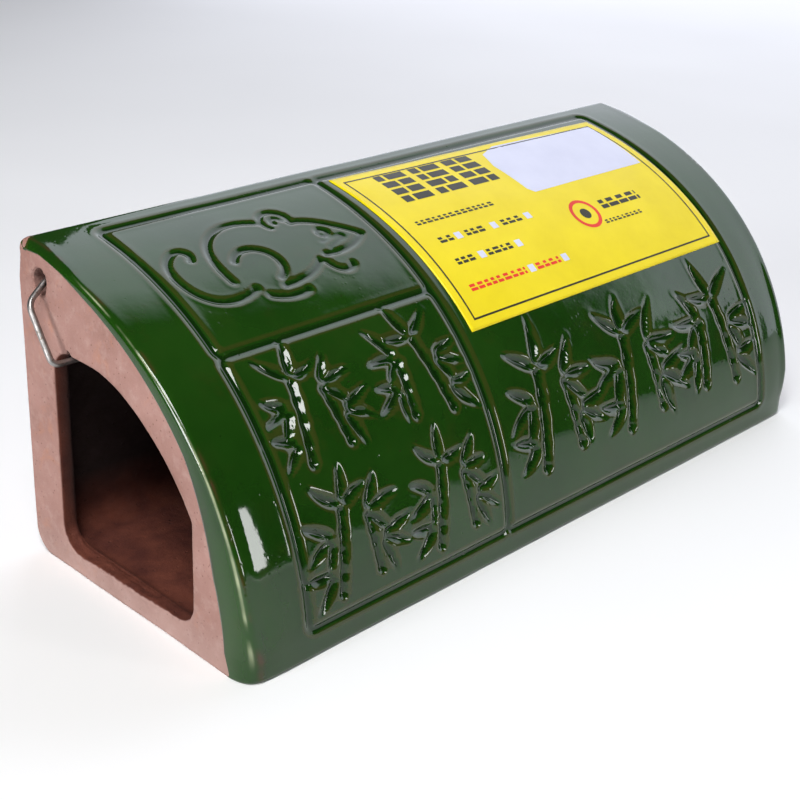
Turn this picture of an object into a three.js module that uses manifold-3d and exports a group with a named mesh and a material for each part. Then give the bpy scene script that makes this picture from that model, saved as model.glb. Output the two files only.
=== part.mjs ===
// Ceramic rodent bait station: a slip-cast clay tunnel, glazed over its curved roof, with a bent
// steel wire that carries wax bait blocks through the middle of it.
// Millimetres. X runs along the tunnel, +Y is the wall side and +Z is up. The origin is the middle
// of the base.
import * as THREE from "three";
import { mergeVertices } from "three/addons/utils/BufferGeometryUtils.js";
import Module from "manifold-3d";

// Driving dimensions
const LENGTH = 302;
const DEPTH = 114;
const HEIGHT = 113.3;
const WALL = 6; // clay thickness, all round and at both ends
const GLAZE = 0.8; // glaze thickness
const GAP = 0.3; // left between solids that touch on the real object
const EDGE_RADIUS = 3; // rounding where the roof meets the end faces
const WIRE_RADIUS = 1.1;
const BLOCK_COUNT = 4;
const BLOCK = { length: 30, width: 22, height: 24, hole: 4, corner: 2.5, spacing: 32 };

// Places that follow from the driving dimensions
const END = LENGTH / 2;
const BACK = DEPTH / 2;
const FRONT = -DEPTH / 2;
const FOOT = 9; // upright stretch of the front, below the curve
const CLAY_INSET = GLAZE + GAP; // how far the clay lies under the glazed surface
const INNER_END = END - WALL;
const FLOOR = WALL + 1;
const OVERSHOOT = 20; // how far a cutting tool runs past what it cuts

// Wire and the two features in each end wall that hold it
const WIRE_RUN = { y: 30.2, z: 79.1 }; // the straight stretch inside the tunnel
const CORNER_HOLE = { y: 45.2, z: 101.3, halfWidth: 3.7, halfHeight: 4.5 };
const NOTCH = { y: 30.8, radius: 1.9, apex: 81.9 };
const ENTRANCE = { front: -29.9, back: 40, sill: 8, crown: 80.5, corner: 9 };

// Label on the roof: its span along X and along the roof's girth from the front bottom edge
const LABEL = { left: -27, right: 123.5, low: 82, high: 164.5, thickness: 0.35 };

const ROOF_STEPS = 28;
const EDGE_STEPS = 3;
const ARC_STEPS = 8;
const WIRE_SIDES = 10;
const BEND_STEPS = 5;
const BEND_REACH = 3.2; // length of straight wire that each bend uses up on either side

const wasm = await Module();
wasm.setup();

function toSolid(geometry) {
  const bare = geometry.clone();
  bare.deleteAttribute("normal");
  bare.deleteAttribute("uv");
  const merged = mergeVertices(bare, 1e-4);
  const mesh = new wasm.Mesh({
    numProp: 3,
    vertProperties: new Float32Array(merged.attributes.position.array),
    triVerts: new Uint32Array(merged.index.array),
  });
  return new wasm.Manifold(mesh);
}

function toGeometry(solid) {
  const mesh = solid.getMesh();
  const geometry = new THREE.BufferGeometry();
  geometry.setAttribute("position", new THREE.BufferAttribute(mesh.vertProperties, mesh.numProp));
  geometry.setIndex(new THREE.BufferAttribute(mesh.triVerts, 1));
  geometry.computeVertexNormals();
  return geometry;
}

// A section drawn in (y, z), extruded along X from one place to another.
function alongX(shape, from, to, options = {}) {
  const bevel = options.bevel ?? 0;
  const geometry = new THREE.ExtrudeGeometry(shape, {
    depth: to - from - 2 * bevel,
    steps: 1,
    curveSegments: options.curveSegments ?? ARC_STEPS,
    bevelEnabled: bevel > 0,
    bevelThickness: bevel,
    bevelSize: bevel,
    bevelOffset: -bevel,
    bevelSegments: EDGE_STEPS,
  });
  const sectionToRow = new THREE.Matrix4().makeBasis(
    new THREE.Vector3(0, 1, 0),
    new THREE.Vector3(0, 0, 1),
    new THREE.Vector3(1, 0, 0),
  );
  geometry.applyMatrix4(sectionToRow);
  geometry.translate(from + bevel, 0, 0);
  return geometry;
}

// The roof's section: nearly a quarter circle, from the top of the foot to the back's top edge. It
// leaves the foot upright, and it still climbs a little where it meets the back.
const ROOF_RISE = 0.25 * HEIGHT;
const ROOF_SHOULDER = { y: 0.72 * FRONT, z: 0.9 * HEIGHT };
const ROOF_TOP = { y: BACK - 2, z: HEIGHT };
const roof = new THREE.CubicBezierCurve(
  new THREE.Vector2(FRONT, FOOT),
  new THREE.Vector2(FRONT, ROOF_RISE),
  new THREE.Vector2(ROOF_SHOULDER.y, ROOF_SHOULDER.z),
  new THREE.Vector2(ROOF_TOP.y, ROOF_TOP.z),
);

// A point of the roof at fraction u of its girth, moved outward by a distance.
function roofPoint(u, outward) {
  const point = roof.getPointAt(u);
  const tangent = roof.getTangentAt(u);
  const normal = new THREE.Vector2(-tangent.y, tangent.x);
  return point.addScaledVector(normal, outward);
}

function roofLine(outward, from = 0, to = 1, steps = ROOF_STEPS) {
  const points = [];
  for (let i = 0; i <= steps; i += 1) {
    points.push(roofPoint(from + ((to - from) * i) / steps, outward));
  }
  return points;
}

// The fraction of the roof's girth at a distance from the front bottom edge, measured over the surface.
function girthFraction(distance) {
  return (distance - FOOT) / roof.getLength();
}

// Everything under the roof, shrunk by an inset, with its end edges rounded. It runs on below the
// base and past the back, where the flat faces are cut.
function underRoof(inset) {
  const line = roofLine(-inset);
  const top = line[line.length - 1];
  const outline = new THREE.Shape([
    new THREE.Vector2(line[0].x, -OVERSHOOT),
    ...line,
    new THREE.Vector2(BACK + OVERSHOOT, top.y),
    new THREE.Vector2(BACK + OVERSHOOT, -OVERSHOOT),
  ]);
  return toSolid(alongX(outline, -END, END, { bevel: EDGE_RADIUS - inset }));
}

// Cuts the flat base and back, and rounds the two long edges of the back.
function flatFaces() {
  const lowRadius = 9;
  const highRadius = 3;
  const shape = new THREE.Shape();
  shape.moveTo(FRONT - OVERSHOOT, 0);
  shape.lineTo(BACK - lowRadius, 0);
  shape.absarc(BACK - lowRadius, lowRadius, lowRadius, -Math.PI / 2, 0);
  shape.lineTo(BACK, HEIGHT - highRadius);
  shape.absarc(BACK - highRadius, HEIGHT - highRadius, highRadius, 0, Math.PI / 2);
  shape.lineTo(FRONT - OVERSHOOT, HEIGHT);
  return toSolid(alongX(shape, -END - OVERSHOOT, END + OVERSHOOT));
}

// The room inside, which follows the outer section at the wall's thickness.
function chamber() {
  const radius = 8;
  const chamfer = 4;
  const rear = BACK - WALL - 1;
  const underside = roofLine(-CLAY_INSET - WALL);
  const line = underside.filter((point) => point.x < rear - chamfer && point.y > FLOOR + radius);
  const front = roofPoint(0, -CLAY_INSET - WALL).x;
  const ceiling = line[line.length - 1].y;
  const shape = new THREE.Shape();
  shape.moveTo(front + radius, FLOOR);
  shape.lineTo(rear - radius, FLOOR);
  shape.absarc(rear - radius, FLOOR + radius, radius, -Math.PI / 2, 0);
  shape.lineTo(rear, ceiling - chamfer);
  shape.lineTo(rear - chamfer, ceiling);
  for (const point of line.reverse()) {
    shape.lineTo(point.x, point.y);
  }
  shape.lineTo(front, FLOOR + radius);
  shape.absarc(front + radius, FLOOR + radius, radius, Math.PI, 1.5 * Math.PI);
  return toSolid(alongX(shape, -INNER_END, INNER_END));
}

// The arched entrance, cut through both end walls.
function entrances() {
  const { front, back, sill, crown, corner } = ENTRANCE;
  const archTop = 20; // where the crown stops being level
  const archFoot = 46.5; // where the front side stops being upright
  const archBulge = 62;
  const shape = new THREE.Shape();
  shape.moveTo(front + corner, sill);
  shape.lineTo(back - corner, sill);
  shape.absarc(back - corner, sill + corner, corner, -Math.PI / 2, 0);
  shape.lineTo(back, crown - corner);
  shape.absarc(back - corner, crown - corner, corner, 0, Math.PI / 2);
  shape.lineTo(archTop, crown);
  shape.bezierCurveTo(0, crown, front + corner, archBulge, front, archFoot);
  shape.lineTo(front, sill + corner);
  shape.absarc(front + corner, sill + corner, corner, Math.PI, 1.5 * Math.PI);
  return toSolid(alongX(shape, -END - 1, END + 1));
}

// A notch in the crown of both entrances, which keeps the wire from wandering sideways.
function notches() {
  const { y, radius, apex } = NOTCH;
  const shape = new THREE.Shape();
  shape.moveTo(y - radius, apex - 2 * radius);
  shape.lineTo(y + radius, apex - 2 * radius);
  shape.absarc(y, apex - radius, radius, 0, Math.PI);
  return toSolid(alongX(shape, -END - 1, END + 1));
}

// An oval hole through one end wall, above the entrance and near the back.
function cornerHole(from, to) {
  const { y, z, halfWidth, halfHeight } = CORNER_HOLE;
  const shape = new THREE.Shape();
  shape.absellipse(y, z, halfWidth, halfHeight, 0, 2 * Math.PI);
  return toSolid(alongX(shape, from, to, { curveSegments: 2 * ARC_STEPS }));
}

function clayBody() {
  const cuts = [
    chamber(),
    entrances(),
    notches(),
    cornerHole(-END - 1, -INNER_END + 1),
    cornerHole(INNER_END - 1, END + 1),
  ];
  let clay = underRoof(CLAY_INSET).intersect(flatFaces());
  for (const cut of cuts) {
    clay = clay.subtract(cut);
  }
  return toGeometry(clay);
}

// The glaze is a shell over the roof and its rounded end edges. It stops just above the base, short
// of the end faces and before the back's top edge.
function glazeCoat() {
  const baseMargin = 1.5;
  const endMargin = 0.8;
  const backMargin = 3.5;
  const reach = new THREE.Shape([
    new THREE.Vector2(FRONT - 1, baseMargin),
    new THREE.Vector2(BACK - backMargin, baseMargin),
    new THREE.Vector2(BACK - backMargin, HEIGHT + 1),
    new THREE.Vector2(FRONT - 1, HEIGHT + 1),
  ]);
  const coat = underRoof(0).subtract(underRoof(GLAZE));
  return toGeometry(coat.intersect(toSolid(alongX(reach, -END + endMargin, END - endMargin))));
}

// The label is a thin sheet that lies on the glaze and curves with the roof.
function labelSheet() {
  const from = girthFraction(LABEL.low);
  const to = girthFraction(LABEL.high);
  const steps = 14;
  const under = roofLine(GAP, from, to, steps);
  const over = roofLine(GAP + LABEL.thickness, from, to, steps);
  return alongX(new THREE.Shape([...under, ...over.reverse()]), LABEL.left, LABEL.right);
}

// A wire that runs straight between its corners, with each inner corner rounded into a bend.
class BentWire extends THREE.Curve {
  constructor(corners) {
    super();
    this.points = [corners[0]];
    for (let i = 1; i < corners.length - 1; i += 1) {
      const corner = corners[i];
      const before = corners[i - 1].clone().sub(corner).setLength(BEND_REACH).add(corner);
      const after = corners[i + 1].clone().sub(corner).setLength(BEND_REACH).add(corner);
      const bend = new THREE.QuadraticBezierCurve3(before, corner, after);
      this.points.push(...bend.getPoints(BEND_STEPS));
    }
    this.points.push(corners[corners.length - 1]);
  }

  get steps() {
    return this.points.length - 1;
  }

  getPointAt(u) {
    return this.points[Math.round(u * this.steps)].clone();
  }

  getTangentAt(u) {
    const i = Math.round(u * this.steps);
    const here = this.points[i];
    const previous = this.points[Math.max(i - 1, 0)];
    const next = this.points[Math.min(i + 1, this.steps)];
    const arriving = here.clone().sub(previous).normalize();
    const leaving = next.clone().sub(here).normalize();
    return arriving.add(leaving).normalize();
  }
}

// The near end is a hook: its tip sits in the corner hole, and its shank crosses the outside of the
// end wall to the notch. The far end rises inside the tunnel and plugs into the far corner hole.
function baitWire() {
  const stand = 6.2; // how far the hook's shank stands off the end face
  const tip = { y: CORNER_HOLE.y + 0.7, z: CORNER_HOLE.z + 1.7 }; // it lies against the hole's upper side
  const elbow = { y: CORNER_HOLE.y - 3.2, z: CORNER_HOLE.z - 4.9 };
  const tailBend = 118;
  const rise = 18;
  const tailReach = 2; // how far the tail's end stands out of the far hole
  const path = new BentWire([
    new THREE.Vector3(-INNER_END, tip.y, tip.z),
    new THREE.Vector3(-END - stand, elbow.y, elbow.z),
    new THREE.Vector3(-END - stand, WIRE_RUN.y, WIRE_RUN.z),
    new THREE.Vector3(tailBend, WIRE_RUN.y, WIRE_RUN.z),
    new THREE.Vector3(tailBend + rise, CORNER_HOLE.y, CORNER_HOLE.z),
    new THREE.Vector3(END + tailReach, CORNER_HOLE.y, CORNER_HOLE.z),
  ]);
  const section = new THREE.Shape();
  for (let i = 0; i < WIRE_SIDES; i += 1) {
    const angle = (2 * Math.PI * i) / WIRE_SIDES;
    const x = WIRE_RADIUS * Math.cos(angle);
    const y = WIRE_RADIUS * Math.sin(angle);
    if (i === 0) {
      section.moveTo(x, y);
    } else {
      section.lineTo(x, y);
    }
  }
  return new THREE.ExtrudeGeometry(section, { steps: path.steps, extrudePath: path, bevelEnabled: false });
}

// A pressed wax block with a finger groove down each long side and a hole for the wire. The hole is
// wider than the wire, so that the block hangs from the top of the hole.
function baitBlock() {
  const { length, width, height, hole, corner } = BLOCK;
  const grooveHalf = 3;
  const grooveDepth = 1.2;
  const halfWidth = width / 2;
  const halfHeight = height / 2;
  const shape = new THREE.Shape();
  shape.moveTo(-halfWidth + corner, -halfHeight);
  shape.lineTo(halfWidth - corner, -halfHeight);
  shape.absarc(halfWidth - corner, -halfHeight + corner, corner, -Math.PI / 2, 0);
  shape.lineTo(halfWidth, -grooveHalf);
  shape.lineTo(halfWidth - grooveDepth, 0);
  shape.lineTo(halfWidth, grooveHalf);
  shape.lineTo(halfWidth, halfHeight - corner);
  shape.absarc(halfWidth - corner, halfHeight - corner, corner, 0, Math.PI / 2);
  shape.lineTo(-halfWidth + corner, halfHeight);
  shape.absarc(-halfWidth + corner, halfHeight - corner, corner, Math.PI / 2, Math.PI);
  shape.lineTo(-halfWidth, grooveHalf);
  shape.lineTo(-halfWidth + grooveDepth, 0);
  shape.lineTo(-halfWidth, -grooveHalf);
  shape.lineTo(-halfWidth, -halfHeight + corner);
  shape.absarc(-halfWidth + corner, -halfHeight + corner, corner, Math.PI, 1.5 * Math.PI);
  const bore = new THREE.Path();
  bore.absarc(0, 0, hole, 0, 2 * Math.PI);
  shape.holes.push(bore);
  return alongX(shape, -length / 2, length / 2, { curveSegments: 4 });
}

function addPart(group, name, geometry, look) {
  const mesh = new THREE.Mesh(geometry, new THREE.MeshStandardMaterial(look));
  mesh.name = name;
  group.add(mesh);
  return mesh;
}

const clayLook = { color: 0xb08a7e, roughness: 0.95, metalness: 0 };
const glazeLook = { color: 0x12400a, roughness: 0.08, metalness: 0 };
const labelLook = { color: 0xe8d91c, roughness: 0.35, metalness: 0 };
const steelLook = { color: 0xb4b6b8, roughness: 0.25, metalness: 1 };
const waxLook = { color: 0x8c2f2a, roughness: 0.55, metalness: 0 };

const station = new THREE.Group();
addPart(station, "clay_body", clayBody(), clayLook);
addPart(station, "glaze_coat", glazeCoat(), glazeLook);
addPart(station, "label_sheet", labelSheet(), labelLook);
addPart(station, "bait_wire", baitWire(), steelLook);

// The blocks are spaced evenly about the middle of the tunnel. Each hangs with the top of its hole
// a gap above the wire.
const hang = BLOCK.hole - WIRE_RADIUS - GAP;
for (let i = 0; i < BLOCK_COUNT; i += 1) {
  const block = addPart(station, `bait_block_${i + 1}`, baitBlock(), waxLook);
  const x = (i - (BLOCK_COUNT - 1) / 2) * BLOCK.spacing;
  block.position.set(x, WIRE_RUN.y, WIRE_RUN.z - hang);
}

export default station;
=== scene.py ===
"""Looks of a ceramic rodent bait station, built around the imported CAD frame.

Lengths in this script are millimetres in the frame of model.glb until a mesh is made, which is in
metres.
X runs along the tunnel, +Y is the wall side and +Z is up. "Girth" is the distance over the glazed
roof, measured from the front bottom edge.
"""
import math
from typing import NamedTuple

import bmesh
import bpy
import numpy as np
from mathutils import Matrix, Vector, noise


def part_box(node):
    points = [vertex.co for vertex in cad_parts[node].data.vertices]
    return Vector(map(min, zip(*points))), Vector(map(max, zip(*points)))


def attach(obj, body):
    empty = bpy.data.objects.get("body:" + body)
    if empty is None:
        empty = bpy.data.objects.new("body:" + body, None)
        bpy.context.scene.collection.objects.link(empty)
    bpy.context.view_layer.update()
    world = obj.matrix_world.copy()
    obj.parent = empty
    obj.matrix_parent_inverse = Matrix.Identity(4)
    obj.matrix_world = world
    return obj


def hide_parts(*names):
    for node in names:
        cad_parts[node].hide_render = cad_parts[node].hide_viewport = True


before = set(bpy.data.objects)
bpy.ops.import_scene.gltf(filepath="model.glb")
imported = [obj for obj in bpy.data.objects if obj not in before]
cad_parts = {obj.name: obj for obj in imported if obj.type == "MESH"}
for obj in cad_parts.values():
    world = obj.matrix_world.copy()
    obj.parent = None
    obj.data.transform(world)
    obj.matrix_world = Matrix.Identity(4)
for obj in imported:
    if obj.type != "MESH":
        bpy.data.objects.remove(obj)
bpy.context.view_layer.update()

MM = 0.001
clay_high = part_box("clay_body")[1] / MM
glaze_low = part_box("glaze_coat")[0] / MM
wire_low, wire_high = (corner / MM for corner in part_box("bait_wire"))

# The section, as the CAD draws it
END = clay_high.x
BACK = clay_high.y
FRONT = glaze_low.y
GLAZE_DEPTH = 1.1  # the clay under the glaze lies this far below the glazed surface
RELIEF_ROOM = 3.2  # and this far where the relief is pressed in
HEIGHT = clay_high.z + GLAZE_DEPTH
GLAZE_STOP = 175.5  # girth at which the glaze ends at the two ends
FOOT = 9.0  # upright stretch of the front
FOOT_RADIUS = 1.4
TOP_RADIUS = 2.6
HEEL_RADIUS = 9.0
WALL = 6.0
INNER_END = END - WALL
INNER_FLOOR = WALL + 1
INNER_BACK = BACK - WALL - 1
PLAIN_EDGE = 0.7  # rounding of the clay's bare edges
CENTRE = np.array([8.0, 42.0])  # a point of the section that sees all of every outline

# What holds the wire: an oval hole and a notch in each end wall, as (y, z)
HOLE = np.array([45.2, 101.3])
HOLE_HALF = np.array([3.7, 4.5])
NOTCH = np.array([30.8, 80.0])
WIRE_RADIUS = 1.1

ROOF_POINTS = 900
SIDE_POINTS = 60
CLIMB = 500  # this many points of the outline, from its start, only rise


def smoothstep(value):
    value = np.clip(value, 0, 1)
    return value * value * (3 - 2 * value)


def hump(value, middle, width):
    """A smooth bump, 1 at its middle and near 0 past twice its width."""
    return np.exp(-(((value - middle) / width) ** 2))


def compass(angles):
    """Unit vectors in these directions."""
    return np.stack([np.cos(angles), np.sin(angles)], axis=-1)


def unit(vectors):
    return vectors / np.linalg.norm(vectors, axis=-1, keepdims=True)


def full_turn(count):
    """This many even directions all the way round."""
    return np.linspace(0, 2 * math.pi, count, endpoint=False)


def walk(line, places, at):
    """Points of a line at these distances along it, given how far along each of its own points is."""
    return np.stack([np.interp(at, places, line[:, k]) for k in (0, 1)], axis=-1)


# ---------------------------------------------------------------- outlines of the section

def arc(cy, cz, radius, start, stop, step=2.0):
    count = max(2, int(abs(stop - start) / step))
    angles = np.radians(np.linspace(start, stop, count))
    return np.array([cy, cz]) + radius * compass(angles)


def bezier(points, count):
    t = np.linspace(0, 1, count)[:, None]
    a, b, c, d = (np.array(p, float) for p in points)
    return (1 - t) ** 3 * a + 3 * (1 - t) ** 2 * t * b + 3 * (1 - t) * t**2 * c + t**3 * d


def roof_curve():
    """From the top of the upright foot to the back, as one curve."""
    corners = [
        (FRONT, FOOT),
        (FRONT, 0.25 * HEIGHT),
        (0.72 * FRONT, 0.9 * HEIGHT),
        (BACK - 2, HEIGHT),
    ]
    return bezier(corners, ROOF_POINTS)


def outer_outline():
    """The whole section, from the front bottom edge over the roof and down the back."""
    foot = arc(FRONT + FOOT_RADIUS, FOOT_RADIUS, FOOT_RADIUS, 270, 180)
    roof = roof_curve()
    slope = np.arctan2(*(roof[-1] - roof[-30])[::-1])
    centre_y = BACK - TOP_RADIUS
    cut = np.searchsorted(roof[:, 0], centre_y - TOP_RADIUS * math.sin(slope))
    centre_z = roof[cut, 1] - TOP_RADIUS * math.cos(slope)
    crown = arc(centre_y, centre_z, TOP_RADIUS, 90 + math.degrees(slope), 0)
    back = np.linspace((BACK, centre_z), (BACK, HEEL_RADIUS), SIDE_POINTS)
    heel = arc(BACK - HEEL_RADIUS, HEEL_RADIUS, HEEL_RADIUS, 0, -90)
    base = np.linspace((BACK - HEEL_RADIUS, 0), (FRONT + FOOT_RADIUS, 0), SIDE_POINTS)
    parts = [foot, roof[:cut], crown, back[1:], heel[1:], base[1:-1]]
    return np.concatenate(parts)


def girth_of(line):
    steps = np.linalg.norm(np.diff(line, axis=0), axis=1)
    return np.concatenate([[0], np.cumsum(steps)])


OUTLINE = outer_outline()
OUTLINE_GIRTH = girth_of(OUTLINE)
# Girth counts from where the front and the base would meet with no rounding.
OUTLINE_GIRTH += FOOT - np.interp(FOOT, OUTLINE[:CLIMB, 1], OUTLINE_GIRTH[:CLIMB])


def on_section(girth):
    """Points and outward normals of the section at these girths."""
    reach = 0.6  # half the length of roof that each normal is taken over
    here, ahead, behind = (walk(OUTLINE, OUTLINE_GIRTH, girth + shift) for shift in (0, reach, -reach))
    along = ahead - behind
    return here, unit(np.stack([-along[..., 1], along[..., 0]], axis=-1))


def polar(line, angles):
    """How far an outline is from CENTRE in these directions."""
    spokes = line - CENTRE
    turned = np.arctan2(spokes[:, 1], spokes[:, 0])
    return np.interp(angles, turned, np.linalg.norm(spokes, axis=1), period=2 * math.pi)


# ---------------------------------------------------------------- the rounded end edge

ALL_ROUND = OUTLINE_GIRTH[-1]
# Girth, width of the rounding on the end face, its reach along X, and the power of its superellipse:
# 2 is a plain round, and more is flatter with a tighter crest.
EDGE_TABLE = np.array([
    (0, 9.3, 7.2, 2.3),
    (8, 12.0, 7.5, 2.6),
    (20, 12.6, 4.2, 3.6),
    (30, 12.5, 3.8, 3.6),
    (56, 8.8, 3.4, 3.6),
    (77, 5.6, 3.4, 3.6),
    (115, 4.0, 3.4, 3.6),
    (143, 2.8, 3.4, 3.4),
    (154, 1.6, 5.0, 2.4),
    (166, 1.2, 5.0, 2.2),
    (174, 2.6, 4.0, 2.0),
    (180, 2.6, 3.0, 2.0),
    (190, PLAIN_EDGE, PLAIN_EDGE, 2.0),
    (ALL_ROUND - 14, PLAIN_EDGE, PLAIN_EDGE, 2.0),
    (ALL_ROUND, 9.3, 7.2, 2.3),
])


def edge_shape(girth):
    """Width, reach and power of the end edge's rounding at these girths."""
    return [np.interp(girth, EDGE_TABLE[:, 0], EDGE_TABLE[:, column]) for column in (1, 2, 3)]


def inward(section, normal, girth):
    """Which way the rounding insets the section, for each unit of depth. It is level near the foot."""
    spoke = unit(section - CENTRE)
    lean = np.maximum((spoke * normal).sum(axis=-1), 0.5)
    from_foot = np.minimum(girth, ALL_ROUND - girth)
    level_until, blend = 6, 34
    share = smoothstep((from_foot - level_until) / blend)[..., None]
    level = np.array([-1.0, 0.0])
    return -(share * spoke / lean[..., None] + (1 - share) * level)


# ---------------------------------------------------------------- relief of the glazed roof

def value_noise(u, v, cell, seed):
    """Smooth noise from -1 to 1 over a plane, with one random height for each cell corner."""
    size = 64
    lattice = np.random.default_rng(seed).uniform(-1, 1, (size, size))
    gu = u / cell + size / 2
    gv = v / cell + size / 4
    iu = np.floor(gu).astype(int) % size
    iv = np.floor(gv).astype(int) % size
    fu = smoothstep(gu % 1)
    fv = smoothstep(gv % 1)
    next_u = (iu + 1) % size
    next_v = (iv + 1) % size
    low = lattice[iu, iv] * (1 - fu) + lattice[next_u, iv] * fu
    high = lattice[iu, next_v] * (1 - fu) + lattice[next_u, next_v] * fu
    return low * (1 - fv) + high * fv


# Panel frames, in X and girth
PANEL_LEFT = -END + 24.4
PANEL_MID = -END + 118.1
PANEL_RIGHT = END - 21.8
PANEL_SKEW = 5.5  # the right frame line leans in by this much at its top
PANEL_LOW = 10.2
PANEL_SPLIT = 101.9
PANEL_HIGH = 168.3
PANELS = [
    (PANEL_LEFT, PANEL_MID, PANEL_LOW, PANEL_SPLIT),
    (PANEL_LEFT, PANEL_MID, PANEL_SPLIT, PANEL_HIGH),
    (PANEL_MID, PANEL_RIGHT, PANEL_LOW, PANEL_HIGH),
]
PANEL_CORNER = 3.0
GROOVE_HALF = 2.1
GROOVE_DEPTH = 1.25
FAR_OFF = 99.0  # further than any line of the relief reaches


def frame_grooves(x, girth):
    """Grooves along the panels' frames, each with a soft raised shoulder."""
    across = np.clip((x - PANEL_MID) / (PANEL_RIGHT - PANEL_MID), 0, 1.2)
    x = x + PANEL_SKEW * across * (girth - PANEL_LOW) / (PANEL_HIGH - PANEL_LOW)
    nearest = np.full(x.shape, FAR_OFF)
    for left, right, low, high in PANELS:
        dx = np.abs(x - (left + right) / 2) - (right - left) / 2 + PANEL_CORNER
        dg = np.abs(girth - (low + high) / 2) - (high - low) / 2 + PANEL_CORNER
        outside = np.hypot(np.maximum(dx, 0), np.maximum(dg, 0))
        inside = np.minimum(np.maximum(dx, dg), 0)
        nearest = np.minimum(nearest, np.abs(outside + inside - PANEL_CORNER))
    wall = smoothstep(1 - nearest / GROOVE_HALF)
    shoulder = hump(nearest, GROOVE_HALF + 0.6, 0.9)
    return -GROOVE_DEPTH * wall + 0.12 * shoulder


class Stroke(NamedTuple):
    """A brush stroke or a line: discs along a curve, each with its own radius."""
    points: np.ndarray
    radii: np.ndarray


def quad_points(a, b, c, count=26):
    t = np.linspace(0, 1, count)[:, None]
    a, b, c = (np.array(p, float) for p in (a, b, c))
    return (1 - t) ** 2 * a + 2 * (1 - t) * t * b + t**2 * c


def leaf(start, length, angle, bend, half_width):
    """A leaf-shaped stroke: a short round shoulder, a full middle and a long thin tip."""
    direction = compass(angle)
    side = np.array([-direction[1], direction[0]])
    start = np.array(start, float)
    stop = start + direction * length
    points = quad_points(start, (start + stop) / 2 + side * bend, stop, 40)
    t = np.linspace(0, 1, len(points))
    return Stroke(points, half_width * np.clip(np.sin(math.pi * (0.10 + 0.90 * t) ** 0.62), 0.10, 1))


def culm(foot, top, joints, radius):
    """A jointed bamboo stem: straight lengths that swell a little at their ends."""
    strokes = []
    foot, top = np.array(foot, float), np.array(top, float)
    for i in range(joints):
        share = np.linspace(i / joints, (i + 1) / joints, 24)[2:-1, None]
        swell = radius * (1 + 0.25 * np.abs(np.linspace(-1, 1, len(share))) ** 3)
        strokes.append(Stroke(foot + (top - foot) * share, swell))
    return strokes


def bamboo(centre, half_width, half_height, seed):
    """Two jointed stems with fans of leaves, such as is painted on stoneware."""
    rng = np.random.default_rng(seed)
    middle = np.array(centre, float)
    half = np.array([half_width, half_height])
    turn = rng.choice([-1, 1])
    radius = 0.07 * half_height
    strokes = []
    for foot, top in (((-0.50, -1), (-0.24, 0.50)), ((0.42, -0.86), (0.30, 0.20))):
        foot = middle + half * foot * (turn, 1)
        top = middle + half * top * (turn, 1)
        strokes += culm(foot, top, 4, radius)
    fans = [
        (-0.22, 0.56, (74, 142, 16)),
        (-0.50, 0.08, (158, 206, 248)),
        (0.28, 0.28, (60, 4, -42)),
        (0.50, -0.28, (16, -30, -76)),
        (-0.58, -0.55, (172, 222)),
    ]
    for across, up, angles in fans:
        node = middle + half * (turn * across, up)
        for angle in angles:
            angle = math.radians(angle + rng.uniform(-8, 8))
            if turn < 0:
                angle = math.pi - angle
            away = compass(angle) * 0.12 * half_height
            length = half_height * rng.uniform(0.50, 0.74)
            bend = rng.uniform(-0.09, 0.09) * half_height
            leaf_half = rng.uniform(0.078, 0.098) * half_height
            strokes.append(leaf(node + away, length, angle, bend, leaf_half))
    return strokes


def circle_points(centre, radius, start=0, stop=360, count=40):
    return np.array(centre) + radius * compass(np.radians(np.linspace(start, stop, count)))


def line_stroke(points, radius=1.25):
    return Stroke(points, np.full(len(points), radius))


def rodent(centre):
    """A plain outline of a sitting rodent, as curves measured from its middle."""
    origin = np.array(centre, float)
    curves = [
        bezier([(-23, -9), (-27, 13), (-8, 24), (8, 14)], 60),
        bezier([(19, 11), (26, 10), (33, 3), (39, -3)], 40),
        bezier([(39, -3), (33, -8), (25, -9), (18, -8)], 30),
        bezier([(14, -10), (8, -15), (0, -16), (-6, -16)], 30),
        bezier([(-17, -14), (-40, -24), (-46, 2), (-36, 9)], 60),
        bezier([(-36, 9), (-32, 13), (-26, 10), (-30, 5)], 30),
        quad_points((-14, -18), (-7, -22), (1, -20)),
        bezier([(16, -11), (17, -17), (23, -18), (25, -15)], 24),
        circle_points((-9, -5), 8.5, 150, -62, 60),
        circle_points((13, 14), 5.4, 215, -35, 50),
        circle_points((13.5, 13.5), 2.2, 200, 0, 24),
        circle_points((25, 2.2), 1.7),
    ]
    strokes = [line_stroke(curve + origin) for curve in curves]
    whiskers = [((31, -3), (27, -3.5), (22, -6)), ((31, -1.5), (27, -1), (21, -2.2))]
    for whisker in whiskers:
        strokes.append(line_stroke(quad_points(*whisker) + origin, 0.6))
    return strokes


def engraving_strokes():
    """The sprigs: two rows of two on the left panel, and one row of three larger ones on the right."""
    small = (19, 18)
    large = (23, 23)
    left_width = PANEL_MID - PANEL_LEFT
    left_rise = PANEL_SPLIT - PANEL_LOW
    right_width = PANEL_RIGHT - PANEL_MID
    strokes = []
    for column in (0.26, 0.74):
        for row in (0.27, 0.74):
            centre = (PANEL_LEFT + column * left_width, PANEL_LOW + row * left_rise)
            strokes += bamboo(centre, *small, int(100 * column + 10 * row))
    for number, column in enumerate((0.21, 0.52, 0.82)):
        centre = (PANEL_MID + column * right_width, PANEL_LOW + 39)
        strokes += bamboo(centre, *large, 40 + number)
    return strokes


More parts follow.
